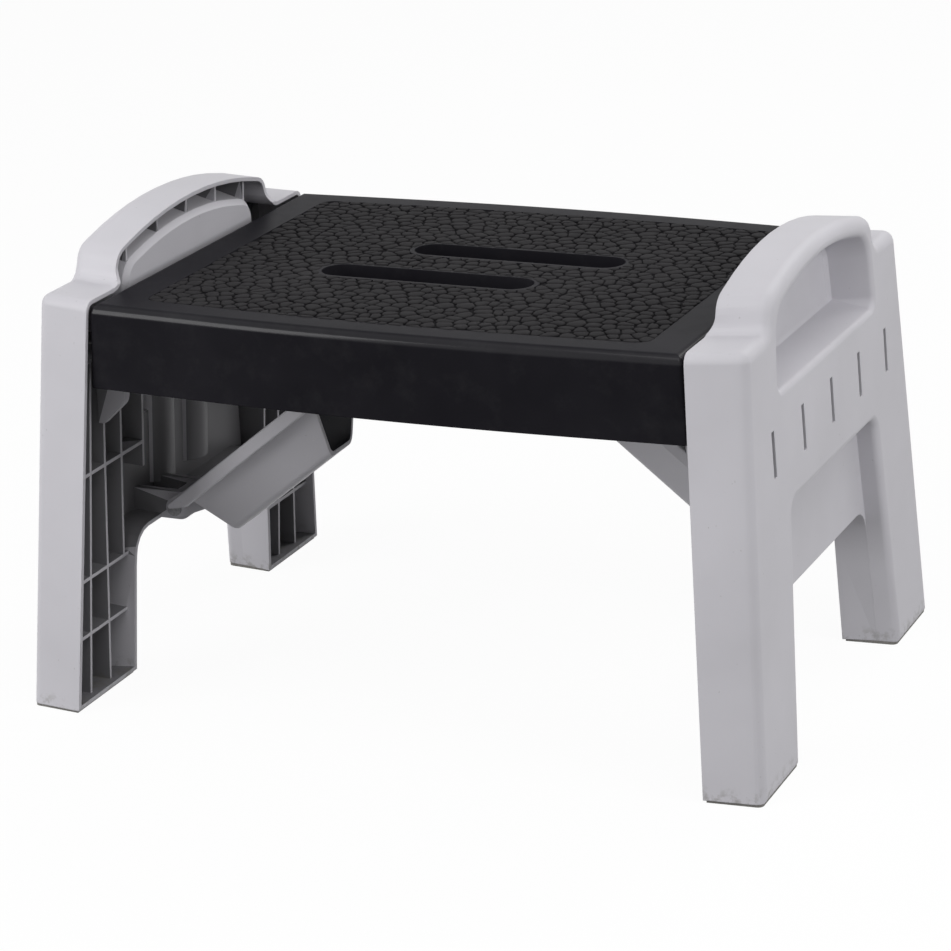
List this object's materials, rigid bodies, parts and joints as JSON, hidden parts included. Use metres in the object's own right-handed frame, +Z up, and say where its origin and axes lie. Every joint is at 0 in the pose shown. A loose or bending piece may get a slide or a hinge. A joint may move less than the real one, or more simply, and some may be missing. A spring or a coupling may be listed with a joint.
{
  "type": "folding step stool",
  "caption": "Low folding step stool with a textured deck, two hollow end frames with carrying handles, and swinging braces that lock each end open.",
  "frame": {"origin": "on the floor under the centre of the deck", "axes": "+X along the deck to the right end, +Y from front to back, +Z up"},
  "size_m": [0.4712, 0.3254, 0.2876],
  "materials": {
    "deck_plastic": "black moulded plastic with a raised tread",
    "frame_plastic": "light grey moulded plastic",
    "brace_plastic": "light grey moulded plastic",
    "pin_steel": "plain steel pin",
    "pad_rubber": "thin rubber foot pad"
  },
  "bodies": {
    "deck": {"deck": "deck_plastic", "left_front_hinge_pin": "pin_steel", "left_rear_hinge_pin": "pin_steel", "right_front_hinge_pin": "pin_steel", "right_rear_hinge_pin": "pin_steel"},
    "left_frame": {"left_end_frame": "frame_plastic", "left_brace_pin": "pin_steel", "left_front_foot_pad": "pad_rubber", "left_rear_foot_pad": "pad_rubber"},
    "right_frame": {"right_end_frame": "frame_plastic", "right_brace_pin": "pin_steel", "right_front_foot_pad": "pad_rubber", "right_rear_foot_pad": "pad_rubber"},
    "left_brace": {"left_brace": "brace_plastic"},
    "right_brace": {"right_brace": "brace_plastic"}
  },
  "joints": [
    {"name": "left_fold", "type": "hinge", "parent": "deck", "child": "left_frame", "pos_m": [-0.183, 0, 0.208], "axis": [0, -1, 0], "range_deg": [0, 92.5]},
    {"name": "left_brace_fold", "type": "hinge", "parent": "left_frame", "child": "left_brace", "pos_m": [-0.182, 0, 0.1], "axis": [0, 1, 0], "range_deg": [0, 122.6]},
    {"name": "right_fold", "type": "hinge", "parent": "deck", "child": "right_frame", "pos_m": [0.183, 0, 0.208], "axis": [0, 1, 0], "range_deg": [0, 79.5]},
    {"name": "right_brace_fold", "type": "hinge", "parent": "right_frame", "child": "right_brace", "pos_m": [0.182, 0, 0.1], "axis": [0, -1, 0], "range_deg": [0, 105.4]}
  ],
  "couplings": [
    {"joint": "left_brace_fold", "follows": "left_fold", "ratio": 1.325},
    {"joint": "right_brace_fold", "follows": "right_fold", "ratio": 1.325}
  ]
}
